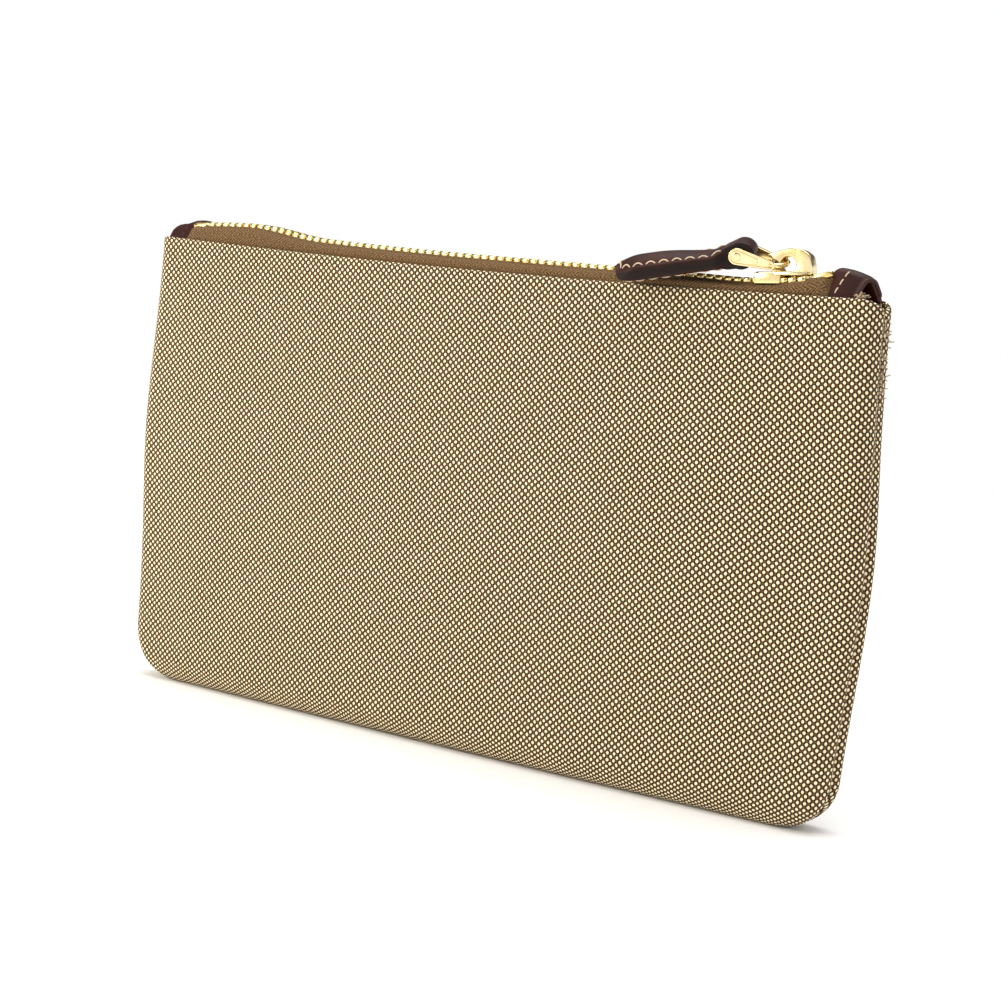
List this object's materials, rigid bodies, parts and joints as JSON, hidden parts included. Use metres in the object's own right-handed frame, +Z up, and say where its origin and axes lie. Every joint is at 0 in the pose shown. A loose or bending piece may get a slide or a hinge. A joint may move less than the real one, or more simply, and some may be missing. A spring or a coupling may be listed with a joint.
{
  "type": "zippered pouch",
  "caption": "Flat zip-top pouch in two-tone woven cloth with a metal zip, leather end tabs and a padded leather zip pull.",
  "frame": {"origin": "middle of the foot strip that the upright pouch rests on", "axes": "+X along the zip towards its closed end, +Y towards the back panel, +Z up towards the zip"},
  "size_m": [0.21, 0.0237, 0.1334],
  "materials": {
    "woven_cloth": "two-tone basket weave, cream over brown",
    "interlining": "bonded fleece",
    "lining": "plain cotton",
    "zip_tape": "herringbone twill tape",
    "zip_metal": "polished pale gold",
    "leather": "smooth dark brown, waxed",
    "leather_edge": "painted dark edge",
    "thread": "cream waxed thread"
  },
  "bodies": {
    "pouch_back": {"back_panel": "woven_cloth", "back_interlining": "interlining", "back_lining": "lining", "back_tape": "zip_tape", "back_cord": "zip_tape", "back_teeth": "zip_metal", "back_top_stop": "zip_metal", "bottom_stop": "zip_metal", "left_end_tab": "leather", "right_end_tab": "leather", "left_tab_stitching": "thread", "right_tab_stitching": "thread", "seam_thread": "thread"},
    "pouch_front": {"front_panel": "woven_cloth", "front_interlining": "interlining", "front_lining": "lining", "front_tape": "zip_tape", "front_cord": "zip_tape", "front_teeth": "zip_metal", "front_top_stop": "zip_metal"},
    "slider": {"slider_body": "zip_metal", "slider_crown": "zip_metal"},
    "puller": {"puller_link": "zip_metal", "puller_pin": "zip_metal"},
    "leather_pull": {"pull_leather": "leather", "pull_core": "leather_edge", "pull_stitching": "thread"}
  },
  "joints": [
    {"name": "zip_slide", "type": "slide", "parent": "pouch_back", "child": "slider", "axis": [-0.9999, 0, 0.0131], "range_m": [0, 0.16], "deforming": ["back_tape", "back_cord", "back_teeth"]},
    {"name": "mouth_open", "type": "hinge", "parent": "pouch_back", "child": "pouch_front", "pos_m": [0, -0.0015, 0], "axis": [1, 0, 0], "range_deg": [0, 10], "deforming": ["front_tape", "front_cord", "front_teeth", "front_top_stop"]},
    {"name": "puller_swing", "type": "hinge", "parent": "slider", "child": "puller", "pos_m": [0.08057, 0, 0.12838], "axis": [-0.2998, 0.9228, 0.2419], "range_deg": [0, 140]},
    {"name": "pull_swing", "type": "hinge", "parent": "puller", "child": "leather_pull", "pos_m": [0.07005, -0.00382, 0.1299], "axis": [-0.2998, 0.9228, 0.2419], "range_deg": [0, 80]}
  ],
  "couplings": [
    {"joint": "mouth_open", "follows": "zip_slide", "rad_per_m": 1.05}
  ]
}
